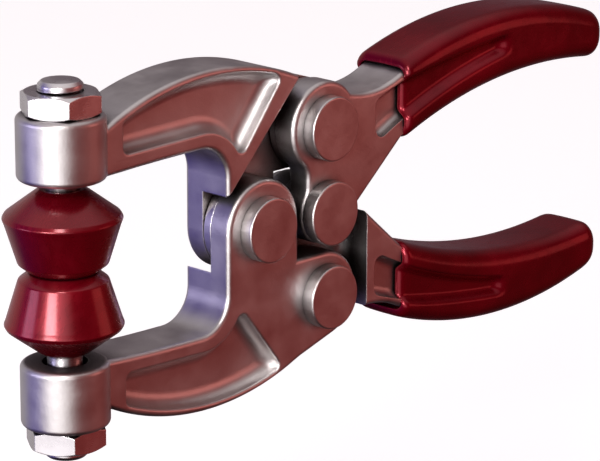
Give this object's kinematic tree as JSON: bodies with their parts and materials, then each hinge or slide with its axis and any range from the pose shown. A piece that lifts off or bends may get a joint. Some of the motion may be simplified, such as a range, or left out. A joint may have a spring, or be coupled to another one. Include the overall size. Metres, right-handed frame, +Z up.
{
  "type": "squeeze action toggle plier clamp",
  "caption": "Hand-squeezed toggle plier clamp with two forged jaws, riveted links, adjustable spindles with cushion caps, and dipped grips.",
  "frame": {"origin": "the point where the two cushion caps meet when the clamp is closed", "axes": "+X from the caps towards the handles, +Z up along the upper spindle, -Y the side with the rivet heads"},
  "size_m": [0.2244, 0.0316, 0.1018],
  "materials": {
    "forged_steel": "satin nickel-plated forging",
    "rivet_steel": "satin, machined head",
    "washer_steel": "satin",
    "screw_steel": "bright zinc",
    "red_vinyl": "glossy dipped vinyl"
  },
  "bodies": {
    "lower_jaw": {"lower_jaw": "forged_steel", "main_rivet": "rivet_steel", "main_thrust_washer": "washer_steel", "main_tail_washer": "washer_steel", "lower_rivet": "rivet_steel", "lower_thrust_washer": "washer_steel", "lower_tail_washer": "washer_steel"},
    "upper_jaw": {"upper_jaw": "forged_steel"},
    "upper_handle": {"upper_handle": "forged_steel", "upper_grip": "red_vinyl", "upper_rivet": "rivet_steel", "upper_thrust_washer": "washer_steel", "upper_tail_washer": "washer_steel", "toggle_rivet": "rivet_steel", "toggle_thrust_washer": "washer_steel", "toggle_tail_washer": "washer_steel"},
    "lower_handle": {"lower_handle": "forged_steel", "lower_grip": "red_vinyl"},
    "upper_spindle": {"upper_spindle": "screw_steel", "upper_cap": "red_vinyl"},
    "lower_spindle": {"lower_spindle": "screw_steel", "lower_cap": "red_vinyl"},
    "upper_nut": {"upper_jam_nut": "screw_steel"},
    "lower_nut": {"lower_jam_nut": "screw_steel"}
  },
  "joints": [
    {"name": "jaw_hinge", "type": "hinge", "parent": "lower_jaw", "child": "upper_jaw", "pos_m": [0.065, 0, 0], "axis": [0, 1, 0], "range_deg": [0, 24.4]},
    {"name": "upper_handle_hinge", "type": "hinge", "parent": "upper_jaw", "child": "upper_handle", "pos_m": [0.089, 0, 0.024], "axis": [0, -1, 0], "range_deg": [0, 52.21]},
    {"name": "lower_handle_hinge", "type": "hinge", "parent": "lower_jaw", "child": "lower_handle", "pos_m": [0.089, 0, -0.024], "axis": [0, 1, 0], "range_deg": [0, 52.21]},
    {"name": "upper_spindle_slide", "type": "slide", "parent": "upper_jaw", "child": "upper_spindle", "axis": [0, 0, 1], "range_m": [0, 0.002]},
    {"name": "lower_spindle_slide", "type": "slide", "parent": "lower_jaw", "child": "lower_spindle", "axis": [0, 0, -1], "range_m": [0, 0.002]},
    {"name": "upper_nut_turn", "type": "hinge", "parent": "upper_jaw", "child": "upper_nut", "pos_m": [0, 0, 0.0447], "axis": [0, 0, 1], "continuous": true},
    {"name": "lower_nut_turn", "type": "hinge", "parent": "lower_jaw", "child": "lower_nut", "pos_m": [0, 0, -0.0447], "axis": [0, 0, -1], "continuous": true}
  ],
  "couplings": [
    {"joint": "upper_handle_hinge", "follows": "jaw_hinge", "ratio": 2.139},
    {"joint": "lower_handle_hinge", "follows": "jaw_hinge", "ratio": 2.139}
  ]
}
